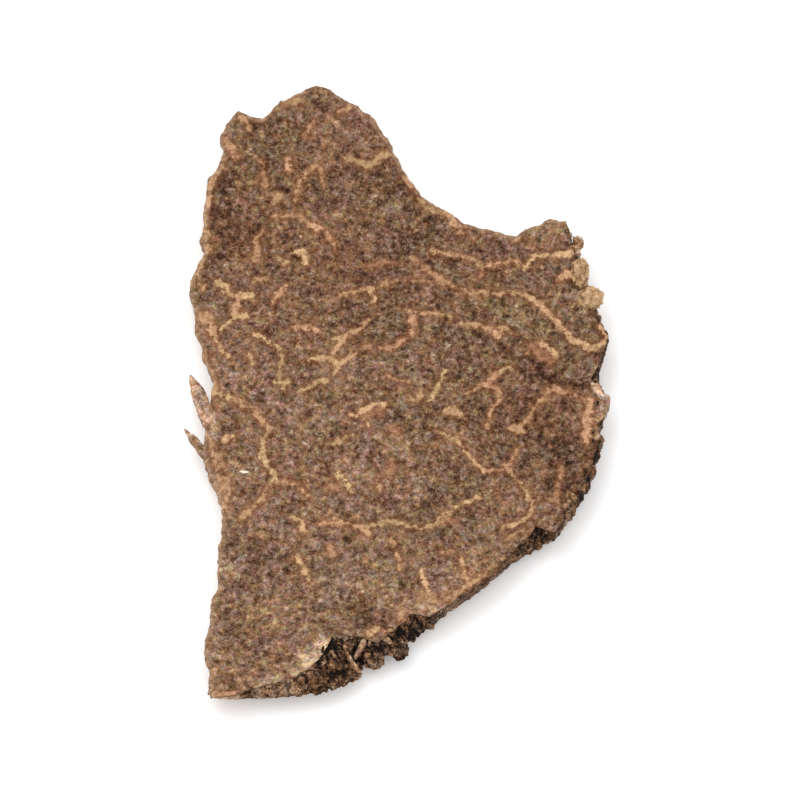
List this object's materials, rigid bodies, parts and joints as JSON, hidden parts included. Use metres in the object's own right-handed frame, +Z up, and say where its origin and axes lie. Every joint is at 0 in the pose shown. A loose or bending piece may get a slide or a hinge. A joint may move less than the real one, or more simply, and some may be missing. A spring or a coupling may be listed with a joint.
{
  "type": "freeze-dried black truffle slice",
  "caption": "Thin dried slice of black truffle: marbled brown cut face, black warty rind on the lower and right edge, broken elsewhere, lying flat.",
  "frame": {"origin": "centre of the slice's box, on the table under its flat belly", "axes": "+Y along the slice from its pointed lower tip to its broken top, +Z up out of the marbled face, +X towards the right rind"},
  "size_m": [0.0267, 0.0436, 0.0027],
  "materials": {
    "truffle": "matte"
  },
  "bodies": {
    "root": {"truffle_slice": "truffle"}
  },
  "joints": []
}
